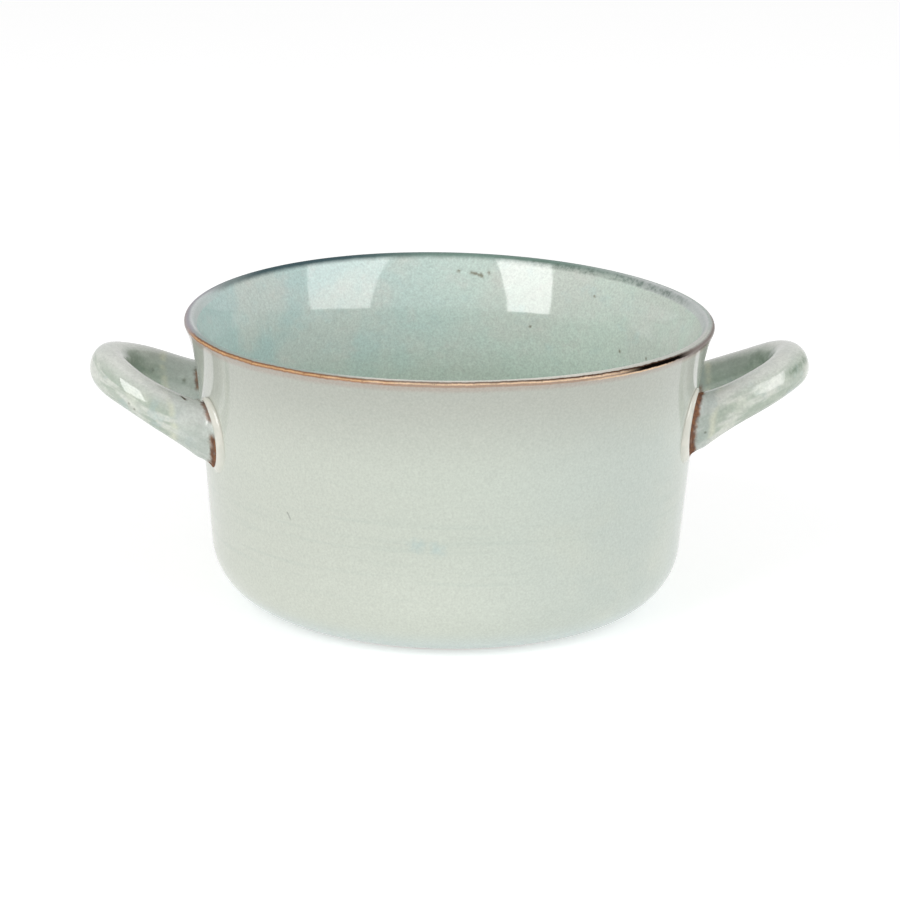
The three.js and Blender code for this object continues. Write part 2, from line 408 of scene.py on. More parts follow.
def build_handle(side, handle, glaze):
    """A strap bent into a loop, with both ends sunk into the wall."""
    around = SECTION_ANGLES
    ends = [along_at_wall(handle, end, around, -HANDLE_SUNK) for end in ENDS]
    along = ends[0] + (ends[1] - ends[0]) * crowded_ends(LOOP_STEPS)[:, None]
    turned = np.broadcast_to(around, along.shape)
    grow = pull_marks(along, turned)
    grow = grow + root_flare(handle, skin_point(handle, along, turned, grow), turned)
    rings = skin_point(handle, along, turned, grow)
    steps = np.linalg.norm(np.diff(loop_point(handle, along), axis=0), axis=-1)
    length = np.vstack((np.zeros((1, SECTION_STEPS)), np.cumsum(steps, axis=0)))
    piece = new_piece(side + "_handle_visual", rings.reshape(-1, 3), closed_tube(rings), (glaze,))
    set_value(piece, "off_wall", off_wall(rings))
    set_value(piece, "strap_length", length)
    set_value(piece, "strap_side", np.cos(turned))
    set_value(piece, "strap_top", np.sin(turned))
    return piece


def roll_share(handle, around):
    """Size of the roll round the arm: 1 on its outer face, 0 on the fingers' side."""
    turn = (around + math.pi) % (2 * math.pi) - math.pi
    over = np.maximum(np.cos(turn), np.cos(turn - math.radians(handle["roll_rise"])))
    under = np.cos(np.maximum(turn * ROLL_DRAWN_UP, -math.pi / 2))
    return np.maximum(0, np.where(turn > 0, over, under))


def build_roll(name, handle, end, glaze):
    """The slip round one end of a handle: a rounded roll on the wall, along the edge of the flare."""
    around = SECTION_ANGLES
    share = roll_share(handle, around)
    flare_edge = flare_reach(handle, around)
    inner_foot = ROLL_TUCKED * flare_edge
    outer_foot = flare_edge + ROLL_LEAST_WIDTH + (handle["roll_width"] - ROLL_LEAST_WIDTH) * share
    over_more = handle["roll_over"] - handle["roll_under"]
    height = handle["roll_under"] + over_more * (1 + np.sin(around)) / 2
    top = ROLL_LEAST_HEIGHT + (height - ROLL_LEAST_HEIGHT) * np.sqrt(share)
    profile = [(outer_foot, -ROLL_SUNK)]
    for angle in np.linspace(0, math.pi, ROLL_STEPS + 1):
        grow = (outer_foot + inner_foot) / 2 + (outer_foot - inner_foot) / 2 * math.cos(angle)
        profile.append((grow, top * math.sin(angle)))
    profile.append((inner_foot, -ROLL_SUNK))
    rings = []
    for grow, distance in profile:
        along = along_at_wall(handle, end, around, distance, grow)
        rings.append(skin_point(handle, along, around, grow))
    rings = np.array(rings)
    faces = closed_tube(rings)
    if end == "back":
        faces = [tuple(reversed(face)) for face in faces]
    piece = new_piece(name + "_visual", rings.reshape(-1, 3), faces, (glaze,))
    set_value(piece, "across", np.repeat(np.linspace(0, 1, len(rings)), SECTION_STEPS))
    return piece


# Colours

PALETTE = {
    "wall": 0xC0C7BC,
    "wall_low": 0xC7CDC2,
    "wall_right": 0xBCC5BD,
    "wall_left": 0xC7CBC0,
    "wall_under_rim": 0xAEB1A8,
    "wall_foot_reflection": 0xC0CDCC,
    "wall_streak": 0x9FB0A8,
    "wall_blue": 0xA5BEBE,
    "wall_mark": 0x6A6E66,
    "inside_left": 0xBBD1CE,
    "inside_right": 0xD2DFD4,
    "inside_warm": 0xD3D6CE,
    "inside_blush": 0xD7D2CC,
    "inside_cool": 0xB7D3D2,
    "inside_deep": 0xBACABC,
    "inside_speck": 0x6E6244,
    "rim_crest_highlight": 0xDCD6CA,
    "rim_brown": 0x4E3222,
    "rim_copper_highlight": 0xDEC0A0,
    "rim_gold_highlight": 0xCCA276,
    "rim_edge": 0x9C7050,
    "rim_blush": 0xA99488,
    "rim_black": 0x0C0806,
    "rim_slate": 0x304A50,
    "rim_green": 0x708A80,
    "rim_lavender": 0xA5A3AC,
    "rim_mauve": 0x6E605C,
    "rim_pale": 0xB4BDB8,
    "rim_grey": 0x84908F,
    "rim_inner_highlight": 0xD0D2D2,
    "rim_shadow": 0x94A8A0,
    "rim_speck": 0x52685C,
    "strap_green": 0xABB6A8,
    "strap_pale": 0xCFD3CA,
    "strap_cream": 0xD4D8CA,
    "strap_blue": 0xA3B8B5,
    # strap_top is painted light on the straps' tops
    "strap_top": 0xD6D8D2,
    "strap_inner": 0x96A99B,
    "strap_smoke": 0x718370,
    "strap_root": 0xC2C9C6,
    "strap_root_right": 0xACB8B4,
    "strap_ring": 0xD2D5C2,
    "strap_clay": 0x633D2B,
    "strap_rust": 0x80502F,
    "strap_speck": 0x545A45,
    "strap_nick": 0x4A3D2E,
    "slip": 0xD2D2C7,
    "slip_pale": 0xDCDACF,
    "slip_line_and_shade": 0x7D7B68,
    "clay": 0xB59A86,
    "clay_pale": 0xC4AD99,
}


def srgb(code):
    """Linear colour of a written six-digit colour, by the sRGB standard's curve."""
    levels = [(code >> shift & 255) / 255 for shift in (16, 8, 0)]
    curve = [v / 12.92 if v <= 0.04045 else ((v + 0.055) / 1.055) ** 2.4 for v in levels]
    return curve + [1.0]


# Materials

# The Mix node's own numbers for its colour sockets
MIX_FIRST = 6
MIX_SECOND = 7
MIX_RESULT = 2
# A blot ends at the first share of its radius and is full at the second
SPOT_EDGE = 1.1
SPOT_FULL = 0.4


class Shading:
    """Builds one node material. Each method adds nodes and returns their output."""

    def __init__(self, name, **sockets):
        self.material = bpy.data.materials.new(name)
        self.material.use_nodes = True
        self.tree = self.material.node_tree
        self.shader = self.tree.nodes["Principled BSDF"]
        for socket, value in sockets.items():
            self.shader.inputs[socket.replace("_", " ")].default_value = value

    def add(self, kind, values=(), **settings):
        node = self.tree.nodes.new("ShaderNode" + kind)
        for key, value in settings.items():
            setattr(node, key, value)
        for socket, value in values:
            if isinstance(value, bpy.types.NodeSocket):
                self.tree.links.new(value, node.inputs[socket])
            else:
                node.inputs[socket].default_value = value
        return node

    def math(self, operation, *values):
        return self.add("Math", enumerate(values), operation=operation).outputs[0]

    def vector(self, operation, first, second):
        """Result of two vectors, or of a vector and a number for SCALE."""
        sockets = ((0, first), ("Scale" if operation == "SCALE" else 1, second))
        outputs = self.add("VectorMath", sockets, operation=operation).outputs
        return outputs["Value" if operation in ("DISTANCE", "DOT_PRODUCT") else "Vector"]

    def place(self):
        """Point on the object in millimetres, as a vector."""
        metres = self.add("TexCoord").outputs["Object"]
        return self.vector("MULTIPLY", metres, (1 / METRES,) * 3)

    def parts(self, vector):
        return self.add("SeparateXYZ", ((0, vector),)).outputs

    def joined(self, x, y, z):
        return self.add("CombineXYZ", ((0, x), (1, y), (2, z))).outputs[0]

    def value(self, name):
        return self.add("Attribute", attribute_name=name).outputs["Fac"]

    def noise(self, vector, grain, detail=3.0, roughness=0.55, distortion=0.0):
        """Noise from 0 to 1 whose blotches are about grain millimetres across."""
        sockets = (
            ("Vector", vector),
            ("Scale", 1 / grain),
            ("Detail", detail),
            ("Roughness", roughness),
            ("Distortion", distortion),
        )
        return self.add("TexNoise", sockets).outputs["Fac"]

    def times(self, *values):
        result = values[0]
        for value in values[1:]:
            result = self.math("MULTIPLY", result, value)
        return result

    def most(self, *values):
        result = values[0]
        for value in values[1:]:
            result = self.math("MAXIMUM", result, value)
        return result

    def between(self, value, low, high):
        """Smooth step: 0 at low, 1 at high."""
        sockets = (("Value", value), ("From Min", low), ("From Max", high))
        return self.add("MapRange", sockets, interpolation_type="SMOOTHSTEP").outputs[0]

    def within(self, value, low, high, soft):
        """1 from low to high, fading out over the soft distance at either end."""
        return self.times(self.between(value, low - soft, low), self.between(value, high + soft, high))

    def level(self, low, high, mask):
        """A value that is low where the mask is 0 and high where it is 1."""
        return self.math("ADD", low, self.times(mask, high - low))

    def centred(self, noise, width):
        """Noise moved to lie on both sides of nothing, about the given width in all."""
        return self.times(self.math("SUBTRACT", noise, 0.5), width)

    def wavy(self, value, noise, width):
        """A distance or an angle, moved to and fro by noise."""
        return self.math("ADD", value, self.centred(noise, width))

    def blend(self, share, first, second):
        """Mixes two colours, each the output of a node or a name from the palette."""
        sockets = [(0, share)]
        for socket, colour in ((MIX_FIRST, first), (MIX_SECOND, second)):
            sockets.append((socket, srgb(PALETTE[colour]) if isinstance(colour, str) else colour))
        return self.add("Mix", sockets, data_type="RGBA").outputs[MIX_RESULT]

    def cover(self, colour, upper, *masks, share=1.0):
        """The colour covered by another where all the masks are 1, by the given share."""
        return self.blend(self.times(*masks, share), colour, upper)

    def shaded(self, colour, factor):
        """The colour made lighter or darker by a factor near 1."""
        return self.vector("SCALE", colour, factor)

    def tinted(self, colour, noise, spread):
        """The colour, lighter and darker by a share of about half the spread."""
        return self.shaded(colour, self.wavy(1.0, noise, spread))

    def spot(self, place, centre, radius, rough):
        """A blot with an uneven edge: 1 in the middle, 0 beyond the radius."""
        distance = self.vector("DISTANCE", place, centre)
        uneven = self.math("ADD", distance, self.times(rough, radius))
        return self.between(uneven, radius * SPOT_EDGE, radius * SPOT_FULL)

    def spots_on_wall(self, place, wall, marks, rough):
        """Blots on one side of the wall, each an angle in degrees, a height and a radius."""
        spots = []
        for turn, height, radius in marks:
            spots.append(self.spot(place, on_wall(wall, turn, height), radius, rough))
        return self.most(*spots)

    def nearest(self, place, first, last):
        """The point nearest to each place on the line from first to last."""
        first = Vector(first)
        line = Vector(last) - first
        away = self.vector("SUBTRACT", place, first)
        share = self.vector("DOT_PRODUCT", away, line / line.length_squared)
        share = self.add("Clamp", ((0, share),)).outputs[0]
        return self.vector("ADD", self.vector("SCALE", line, share), first)

    def line(self, place, ends, radius, rough):
        """A mark with an uneven edge along the line between two points."""
        return self.spot(place, self.nearest(place, *ends), radius, rough)

    def finish(self, colour, height, depth, worn=None):
        """Joins the colour, a bump of the given depth and, where it is worn, the coat to the shader."""
        self.tree.links.new(colour, self.shader.inputs["Base Color"])
        if worn is not None:
            coat = self.math("SUBTRACT", 1.0, worn)
            self.tree.links.new(coat, self.shader.inputs["Coat Weight"])
        sockets = (("Height", height), ("Distance", depth * METRES), ("Strength", 1.0))
        bump = self.add("Bump", sockets)
        self.tree.links.new(bump.outputs[0], self.shader.inputs["Normal"])
        return self.material


# The glaze's own surface is the coat, so the coloured body under it has no gloss of its own
GLAZE = {
    "Roughness": 0.5,
    "Specular_IOR_Level": 0.0,
    "Coat_Weight": 1.0,
    "Coat_Roughness": 0.06,
    "Coat_IOR": 1.52,
}
GLAZE_BUMP = 0.012
BODY_BUMP = 0.008
CLAY_BUMP = 0.05
CLAY_ROUGHNESS = 0.85
FINE_GRAIN = 0.55

# Below, unless a comment says otherwise, a pair is where a colour or mark begins and is complete, and
# a triple is where it begins and ends and over how much it fades. LEVELS are levels of noise.

# Outside of the wall: heights, and sides along X
LOW_HEIGHTS = (34.0, 14.0)
UNDER_RIM_HEIGHTS = (46.0, 73.0)
FOOT_HEIGHTS = (9.0, 1.5)
WALL_RIGHT_SIDE = (-10.0, 50.0)
WALL_RIGHT_LEVELS = (0.3, 0.6)
WALL_LEFT_SIDE = (5.0, -50.0)
STREAK_SQUEEZE = (0.05, 0.05, 1.2)  # along X, Y and Z, so that streaks run round the bowl
STREAK_LEVELS = (0.5, 0.75)
STREAK_HEIGHTS = (24.0, 34.0, 10.0)
# Single marks: angle round from +X in degrees, height, radius. A line's two ends have no radius.
WALL_SPECKS = ((40, 28.0, 0.7), (118, 45.0, 0.8))
WALL_BLUES = ((-100, 31.5, 5.0), (-95.5, 30.5, 5.0), (65, 33.0, 5.0))
WALL_SCRATCH = ((-132.4, 35.2), (-131.5, 33.6))
WALL_SCRATCH_RADIUS = 0.75


def outside_colour(s, place):
    x, _, z = s.parts(place)
    cloud = s.noise(place, grain=24.0, detail=4.0)
    streak = s.noise(s.vector("MULTIPLY", place, STREAK_SQUEEZE), grain=2.0, detail=5.0)
    rough = s.noise(place, grain=1.5)
    colour = s.blend(s.between(z, *LOW_HEIGHTS), "wall", "wall_low")
    clouded = s.between(cloud, *WALL_RIGHT_LEVELS)
    colour = s.cover(colour, "wall_right", s.between(x, *WALL_RIGHT_SIDE), clouded)
    colour = s.cover(colour, "wall_left", s.between(x, *WALL_LEFT_SIDE), share=0.6)
    colour = s.cover(colour, "wall_under_rim", s.between(z, *UNDER_RIM_HEIGHTS), share=0.92)
    # Painted reflection: a bluish tint near the foot.
    colour = s.cover(colour, "wall_foot_reflection", s.between(z, *FOOT_HEIGHTS), share=0.7)
    streak_share = s.level(0.05, 0.19, s.within(z, *STREAK_HEIGHTS))
    colour = s.cover(colour, "wall_streak", s.between(streak, *STREAK_LEVELS), streak_share)
    blue = s.spots_on_wall(place, OUTER_WALL, WALL_BLUES, rough)
    colour = s.cover(colour, "wall_blue", blue, share=0.42)
    speck = s.spots_on_wall(place, OUTER_WALL, WALL_SPECKS, rough)
    scratch_ends = [on_wall(OUTER_WALL, *end) for end in WALL_SCRATCH]
    scratch = s.line(place, scratch_ends, WALL_SCRATCH_RADIUS, rough)
    return s.cover(colour, "wall_mark", s.most(speck, scratch), share=0.5)


# Inside of the wall, in the same way
INSIDE_SIDES = (-45.0, 45.0)
INSIDE_DEEP_HEIGHTS = (54.0, 40.0)
INSIDE_WARM_LEVELS = (0.42, 0.62)
INSIDE_BLUSH_LEVELS = (0.5, 0.72)
INSIDE_COOL_LEVELS = (0.47, 0.3)
PATCH_SQUEEZE = (1, 1, 1.4)
INSIDE_SPECKS = (
    (84.4, 70.3, 1.3), (76.8, 70.1, 1.6), (48, 67.5, 1.1), (65, 57.0, 1.0),
    (37, 55.0, 1.2), (26, 55.5, 1.2), (-62, 40.0, 1.0), (-140, 52.0, 1.0),
)
INSIDE_SMUDGE = ((81.2, 70.0), (78.4, 69.3))
INSIDE_SMUDGE_RADIUS = 1.7


def inside_colour(s, place):
    x, _, z = s.parts(place)
    cloud = s.noise(place, grain=24.0, detail=4.0)
    squeezed = s.vector("MULTIPLY", place, PATCH_SQUEEZE)
    patch = s.noise(squeezed, grain=9.0, detail=6.0, roughness=0.65)
    mottle = s.noise(place, grain=1.1, detail=4.0, roughness=0.75)
    rough = s.noise(place, grain=0.9)
    colour = s.blend(s.between(x, *INSIDE_SIDES), "inside_left", "inside_right")
    colour = s.cover(colour, "inside_warm", s.between(cloud, *INSIDE_WARM_LEVELS), share=0.6)
    colour = s.cover(colour, "inside_blush", s.between(patch, *INSIDE_BLUSH_LEVELS), share=0.32)
    colour = s.cover(colour, "inside_cool", s.between(patch, *INSIDE_COOL_LEVELS), share=0.26)
    colour = s.cover(colour, "inside_deep", s.between(z, *INSIDE_DEEP_HEIGHTS), share=0.6)
    colour = s.tinted(colour, mottle, spread=0.4)
    speck = s.spots_on_wall(place, INNER_WALL, INSIDE_SPECKS, rough)
    smudge_ends = [on_wall(INNER_WALL, *end) for end in INSIDE_SMUDGE]
    smudge = s.line(place, smudge_ends, INSIDE_SMUDGE_RADIUS, rough)
    return s.cover(colour, "inside_speck", s.most(speck, smudge), share=0.75)


# Rim: sides along X, front and back along Y
RIM_LEFT_SIDE = (-56.0, -65.0)
RIM_GREY_SIDE = (-46.0, -58.0)
RIM_FRONT = (-9.0, -22.0)
RIM_BACK = (15.0, 30.0)
# Round the rim, in degrees from +X
RIM_STRETCHES = {
    "right": (-38.0, 30.0, 14.0),
    "lowered_front": (-60.0, -30.0, 22.0),
    "mottled": (26.0, 62.0, 20.0),
    "fringe": (-58.0, -44.0, 8.0),
    "mauve": (-30.0, 8.0, 14.0),
    "black": (-49.0, -37.0, 9.0),
}
RIM_CHANGES = {
    "lowered_left": (-132.0, -158.0),
    "slate": (85.0, 115.0),
    "pale": (66.0, 34.0),
    "outside": (-27.0, -42.0),
    "golden": (-95.0, -125.0),
    "brown_deeper": (-105.0, -62.0),
    "crest": (-130.0, -104.0),
    "crest_thinner": (-72.0, -48.0),
    "shadow": (-106.0, -128.0),
}
# Across the rim, in millimetres along the section from its top, less than 0 on the inside
RIM_BANDS = {
    "inner_pale": (-2.6, -0.5, 0.6),
    "mottled": (-2.3, -1.3, 0.9),
    "blush": (1.6, 2.6, 1.6),
    "fringe": (2.05, 2.3, 0.2),
    "copper": (1.33, 1.48, 0.2),
    "mauve": (1.3, 2.2, 0.9),
    "brown": (0.8, 0.98, 0.18),
    "crest": (-0.9, 0.45, 0.25),
    "shadow": (-1.4, 0.55, 0.4),
    "black": (1.1, 1.8, 0.25),
    "dull": (-5.0, -1.0, 1.5),
}
INSIDE_TO_OUTSIDE = (-0.5, 0.5)
TOP_INNER_END = (-2.6, -0.9)
TOP_OUTER_END = (2.2, 1.4)
TOP_SHORTER_LEFT = 1.5
EDGE_INNER_END = (0.6, 0.95)
EDGE_OUTER_END = (2.35, 2.0)
EDGE_NARROWER_GOLDEN = 0.3
LOWERED_LEFT = 0.15
LOWERED_FRONT = 0.25
# Shares, and levels of noise
EDGE_SHARE = 0.5
EDGE_MORE_GOLDEN = 0.45
EDGE_MORE_BACK = 0.3
SHADOW_SHARE = 0.7
COPPER_LEVELS = (0.25, 0.45)
MOTTLE_LEVELS = (0.4, 0.66)
# How far the coat is worn away
WORN_EDGE = 0.9
WORN_TOP = 0.8
WORN_DULL = 0.9


class Rim:
    """Where each place is on the rim. The lines round it wander, so edge is past_lip made uneven."""

    def __init__(self, s, place, past_lip):
        self.s = s
        self.x, y, _ = s.parts(place)
        self.turn = s.math("MULTIPLY", s.math("ARCTAN2", y, self.x), math.degrees(1))
        wander = s.noise(place, grain=8.0, detail=2.0)
        self.flicker = s.noise(place, grain=1.4, roughness=0.6)
        lowered_left = s.times(self.change("lowered_left"), LOWERED_LEFT)
        lowered_front = s.times(self.stretch("lowered_front"), LOWERED_FRONT)
        uneven = s.math("ADD", s.centred(wander, width=0.4), s.centred(self.flicker, width=0.4))
        moved = s.math("ADD", past_lip, uneven)
        self.edge = s.math("SUBTRACT", moved, s.most(lowered_left, lowered_front))
        self.front = s.between(y, *RIM_FRONT)
        self.back = s.between(y, *RIM_BACK)
        self.left = s.between(self.x, *RIM_LEFT_SIDE)
        self.right = self.stretch("right")
        self.sides = s.most(self.left, self.right)
        self.outside = s.most(s.times(self.front, self.change("outside")), self.back)
        self.golden = s.between(s.wavy(self.turn, wander, width=60.0), *RIM_CHANGES["golden"])

    def stretch(self, name):
        return self.s.within(self.turn, *RIM_STRETCHES[name])

    def change(self, name):
        return self.s.between(self.turn, *RIM_CHANGES[name])

    def band(self, name):
        return self.s.within(self.edge, *RIM_BANDS[name])


def rim_top(s, place, rim, colour):
    """Thin glaze over the top and a little way down inside. Returns the colour and where it lies."""
    top = s.blend(rim.change("slate"), "rim_green", "rim_slate")
    top = s.blend(rim.change("pale"), top, "rim_pale")
    top = s.blend(s.between(rim.x, *RIM_GREY_SIDE), top, "rim_grey")
    top = s.blend(rim.left, top, "rim_lavender")
    top = s.blend(rim.right, top, "rim_pale")
    inner_edge = s.math("SUBTRACT", rim.edge, s.times(rim.left, TOP_SHORTER_LEFT))
    behind = s.math("SUBTRACT", 1.0, rim.front)
    over = s.times(s.between(inner_edge, *TOP_INNER_END), s.between(rim.edge, *TOP_OUTER_END),
                   s.most(behind, rim.sides))
    colour = s.cover(colour, top, over, share=0.95)
    # Painted highlight: a pale band just inside the lip at both ends of the rim.
    colour = s.cover(colour, "rim_inner_highlight", rim.sides, rim.band("inner_pale"), share=0.75)
    grains = s.noise(place, grain=1.6, detail=4.0, roughness=0.7)
    speckle = s.level(0.25, 0.7, s.between(grains, *MOTTLE_LEVELS))
    colour = s.cover(colour, "rim_speck", rim.band("mottled"), rim.stretch("mottled"), speckle)
    return colour, over


def rim_outside(s, place, rim, colour):
    """A blush, then a bare edge with a copper line that is partly a painted highlight. Returns the colour
    and where the edge is bare.
    """
    colour = s.cover(colour, "rim_blush", rim.band("blush"), share=0.5)
    outer_edge = s.math("ADD", rim.edge, s.times(rim.golden, EDGE_NARROWER_GOLDEN))
    bare = s.times(s.between(rim.edge, *EDGE_INNER_END), s.between(outer_edge, *EDGE_OUTER_END),
                   rim.outside)
    more = s.most(s.times(rim.golden, EDGE_MORE_GOLDEN), s.times(rim.back, EDGE_MORE_BACK))
    colour = s.cover(colour, "rim_edge", bare, s.math("ADD", EDGE_SHARE, more))
    # The copper line is the rim's own copper colour, painted bright and broken into spots as a painted
    # highlight.
    copper = s.blend(rim.golden, "rim_copper_highlight", "rim_gold_highlight")
    copper = s.tinted(copper, s.noise(place, grain=3.0, detail=4.0), spread=0.9)
    fringe = s.times(rim.stretch("fringe"), rim.band("fringe"))
    unbroken = s.between(rim.flicker, *COPPER_LEVELS)
    line = s.most(rim.band("copper"), fringe)
    return s.cover(colour, copper, rim.outside, line, unbroken), bare


def rim_front(s, rim, colour):
    """Mauve, brown and black stretches, a pale crest painted as a highlight, and a painted shadow.
    Returns the colour and where the coat is lost.
    """
    colour = s.cover(colour, "rim_mauve", rim.stretch("mauve"), rim.band("mauve"), share=0.8)
    deep = s.level(0.4, 1.0, rim.change("brown_deeper"))
    colour = s.cover(colour, "rim_brown", rim.outside, rim.front, deep, rim.band("brown"))
    # The crest of the lip is partly thin pale glaze and partly a painted highlight, a bright line along
    # the top.
    crest = s.times(rim.front, rim.change("crest"), rim.band("crest"))
    colour = s.cover(colour, "rim_crest_highlight", crest, s.level(0.75, 0.35, rim.change("crest_thinner")))
    shadowed = s.times(rim.front, rim.change("shadow"), rim.band("shadow"), SHADOW_SHARE)
    colour = s.blend(shadowed, colour, "rim_shadow")
    black = s.times(rim.stretch("black"), rim.band("black"))
    return s.blend(black, colour, "rim_black"), s.most(shadowed, black)


def rim_colour(s, place, past_lip, colour):
    """Along the rim the glaze runs thin. Returns the colour and how far the coat is worn away."""
    rim = Rim(s, place, past_lip)
    colour, over = rim_top(s, place, rim, colour)
    colour, bare = rim_outside(s, place, rim, colour)
    colour, lost = rim_front(s, rim, colour)
    dull = s.times(rim.sides, rim.band("dull"))
    worn = s.most(s.times(bare, WORN_EDGE), s.times(over, WORN_TOP), s.times(dull, WORN_DULL), lost)
    return colour, worn


def body_glaze():
    s = Shading("body_glaze", **GLAZE)
    place = s.place()
    past_lip = s.value("past_lip")
    outside = s.between(past_lip, *INSIDE_TO_OUTSIDE)
    colour = s.blend(outside, inside_colour(s, place), outside_colour(s, place))
    colour, worn = rim_colour(s, place, past_lip, colour)
    colour = s.tinted(colour, s.noise(place, FINE_GRAIN), spread=0.4)
    return s.finish(colour, s.noise(place, grain=1.6, detail=2.0), BODY_BUMP, worn)


# Handles: facing is -1 to 1 across the strap's section, and distances are those from the wall
RIGHT_HANDLE_SIDE = (-5.0, 5.0)
STRAP_DRAWN_OUT = 0.25  # streaks run along the strap
STRAP_SECTION_SIZE = 5.0
STRAP_STREAK_LEVELS = (0.4, 0.6)
STRAP_CREAM_LEVELS = (0.5, 0.66)
STRAP_BLUE_LEVELS = (0.47, 0.34)
STRAP_SMOKE_LEVELS = (0.62, 0.42)
STRAP_TOP_FACING = (0.1, 0.9)
STRAP_INNER_FACING = (-0.1, -0.8)
STRAP_BEND_DISTANCES = (9.0, 16.0)
PALE_RING_LEFT = 9.4
PALE_RING_RIGHT = 5.4
PALE_RING_HALF_WIDTH = 1.3
PALE_RING_LEVELS = (0.62, 0.4)
ROOT_FROM_RING = (0.5, -1.5)
BARE_DISTANCES = (2.0, 1.0)
BARE_WIDER_INSIDE = 0.4
BARE_WIDER_RIGHT = 0.3
BARE_LOW_HEIGHTS = (49.4, 47.0)
BARE_HIGH_HEIGHTS = (50.5, 52.0)
BARE_HIGH_SHARE = 0.85
RUST_LEVELS = (0.4, 0.6)
# Single marks: place and radius
STRAP_SPECKS = (
    ((-81.2, -16.3, 54.8), 1.3), ((-79.9, -16.8, 53.5), 1.1), ((-82.6, -15.8, 53.9), 1.0),
    ((-75.5, 7.3, 57.2), 1.5), ((-67.6, 9.9, 53.6), 1.9), ((-64.6, 11.7, 56.3), 1.9),
    ((63.8, -20.5, 48.5), 1.0), ((70.0, 12.0, 55.0), 1.8),
)
# A dark smear along the tip of the right handle, from one point to another
STRAP_SMEAR = ((91.0, -4.8, 63.9), (86.5, -12.2, 62.0))
STRAP_SMEAR_RADIUS = 2.2
# A nick in the glaze on top of the left handle's front arm
STRAP_NICK = ((-68.1, -15.9, 56.6), (-67.0, -17.1, 56.0))
STRAP_NICK_RADIUS = 1.2
# Bare clay smeared over the right handle's back arm, next to the wall
STRAP_RUST = ((65.4, 10.6, 53.4), (66.4, 10.4, 50.6))
STRAP_RUST_RADIUS = 2.2


class Strap:
    """Where each place is on a handle, with the streaks and clouds in its glaze."""

    def __init__(self, s, place):
        x, _, self.height = s.parts(place)
        self.distance = s.value("off_wall")
        facing_out = s.value("strap_side")
        self.facing_up = s.value("strap_top")
        drawn_out = s.joined(
            s.times(s.value("strap_length"), STRAP_DRAWN_OUT),
            s.times(facing_out, STRAP_SECTION_SIZE),
            s.times(self.facing_up, STRAP_SECTION_SIZE),
        )
        self.streak = s.noise(drawn_out, grain=2.8, detail=4.0, roughness=0.5, distortion=0.5)
        self.cloud = s.noise(place, grain=6.0, detail=5.0, roughness=0.6)
        self.inner = s.between(facing_out, *STRAP_INNER_FACING)
        self.on_right = s.between(x, *RIGHT_HANDLE_SIDE)


def strap_colour(s, strap):
    """Streaky glaze with painted light on top, and darker on the fingers' side, most of all inside the
    bend.
    """
    colour = s.blend(s.between(strap.streak, *STRAP_STREAK_LEVELS), "strap_green", "strap_pale")
    colour = s.cover(colour, "strap_cream", s.between(strap.cloud, *STRAP_CREAM_LEVELS), share=0.45)
    colour = s.cover(colour, "strap_blue", s.between(strap.cloud, *STRAP_BLUE_LEVELS), share=0.45)
    # Painted light: the tops of the straps are painted paler, as if lit from above.
    colour = s.cover(colour, "strap_top", s.between(strap.facing_up, *STRAP_TOP_FACING), share=0.8)
    colour = s.cover(colour, "strap_inner", strap.inner, s.level(0.48, 0.62, strap.on_right))
    bend = s.between(strap.distance, *STRAP_BEND_DISTANCES)
    smoky = s.between(strap.cloud, *STRAP_SMOKE_LEVELS)
    return s.cover(colour, "strap_smoke", strap.inner, bend, smoky, share=0.5)


def strap_root(s, strap, colour):
    """Near the wall: bluish glaze, on the left painted paler as a reflection, that ends in a pale ring.
    """
    # On the left handle the root is partly its own bluish glaze and partly a painted reflection of the
    # floor.
    root = s.blend(strap.on_right, "strap_root", "strap_root_right")
    ring_at = s.level(PALE_RING_LEFT, PALE_RING_RIGHT, strap.on_right)
    from_ring = s.math("SUBTRACT", s.wavy(strap.distance, strap.cloud, width=1.5), ring_at)
    colour = s.cover(colour, root, s.between(from_ring, *ROOT_FROM_RING), share=0.5)
    ring = s.between(s.math("ABSOLUTE", from_ring), PALE_RING_HALF_WIDTH, 0.0)
    faint = s.between(strap.streak, *PALE_RING_LEVELS)
    return s.cover(colour, "strap_ring", ring, faint, share=0.75)


def strap_bare(s, place, strap):
    """Where the clay is bare next to the wall: all round on the right, low and high on the left."""
    uneven = s.noise(place, grain=2.0)
    wider_inside = s.times(strap.inner, BARE_WIDER_INSIDE)
    wider = s.math("ADD", wider_inside, s.times(strap.on_right, BARE_WIDER_RIGHT))
    distance = s.wavy(s.math("SUBTRACT", strap.distance, wider), uneven, width=1.6)
    low = s.between(s.wavy(strap.height, uneven, width=3.0), *BARE_LOW_HEIGHTS)
    high = s.times(s.between(strap.height, *BARE_HIGH_HEIGHTS), BARE_HIGH_SHARE)
    return s.times(s.between(distance, *BARE_DISTANCES), s.most(strap.on_right, low, high))


def strap_marks(s, place, colour):
    """Single marks on the handles. Returns the colour and where the nick is."""
    rough = s.noise(place, grain=1.0)
    specks = [s.spot(place, centre, radius, rough) for centre, radius in STRAP_SPECKS]
    colour = s.cover(colour, "strap_speck", s.most(*specks), share=0.65)
    smear = s.line(place, STRAP_SMEAR, STRAP_SMEAR_RADIUS, rough)
    colour = s.cover(colour, "strap_smoke", smear, share=0.8)
    nick = s.line(place, STRAP_NICK, STRAP_NICK_RADIUS, rough)
    colour = s.cover(colour, "strap_nick", nick, share=0.95)
    rust = s.line(place, STRAP_RUST, STRAP_RUST_RADIUS, rough)
    return s.cover(colour, "strap_rust", rust, share=0.8), nick


